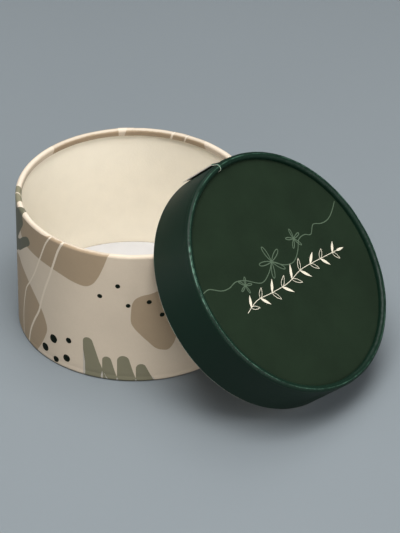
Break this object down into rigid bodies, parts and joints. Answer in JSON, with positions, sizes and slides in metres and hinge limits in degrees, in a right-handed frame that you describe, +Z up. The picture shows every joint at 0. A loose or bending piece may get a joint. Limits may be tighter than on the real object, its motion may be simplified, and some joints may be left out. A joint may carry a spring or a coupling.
{
  "type": "round flower box",
  "caption": "Round rolled-rim paperboard flower box, open, with its deep lid standing beside it and leaning on the rim; the lid swings up to level over the mouth.",
  "frame": {"origin": "centre of the box's foot ring, on the surface it stands on", "axes": "+Z up the box's axis; +X the way the leaning lid stands out from the box, so the lean plane is XZ"},
  "size_m": [0.2948, 0.1888, 0.1618],
  "materials": {
    "grey_board": "raw grey board, matt",
    "kraft_tape": "brown gummed kraft",
    "printed_wrap": "beige printed wrap, satin laminate",
    "cream_paper": "cream embossed paper, matt",
    "white_paper": "white embossed paper, matt",
    "green_wrap": "dark green wrap, satin laminate",
    "green_sheet": "dark green fine-grained paper, matt"
  },
  "bodies": {
    "box": {"box_wall_board": "grey_board", "box_joint_tape": "kraft_tape", "box_printed_wrap": "printed_wrap", "box_liner": "cream_paper", "base_underside_sheet": "white_paper", "base_board": "grey_board", "base_card": "white_paper"},
    "lid": {"lid_wall_board": "grey_board", "lid_joint_tape": "kraft_tape", "lid_wrap": "green_wrap", "lid_liner": "cream_paper", "lid_top_board": "grey_board", "lid_top_sheet": "green_sheet", "lid_inner_sheet": "white_paper"}
  },
  "joints": [
    {"name": "lid_swing", "type": "hinge", "parent": "box", "child": "lid", "pos_m": [-0.00313, 0, -0.04133], "axis": [0, -1, 0], "range_deg": [0, 45.14]}
  ]
}
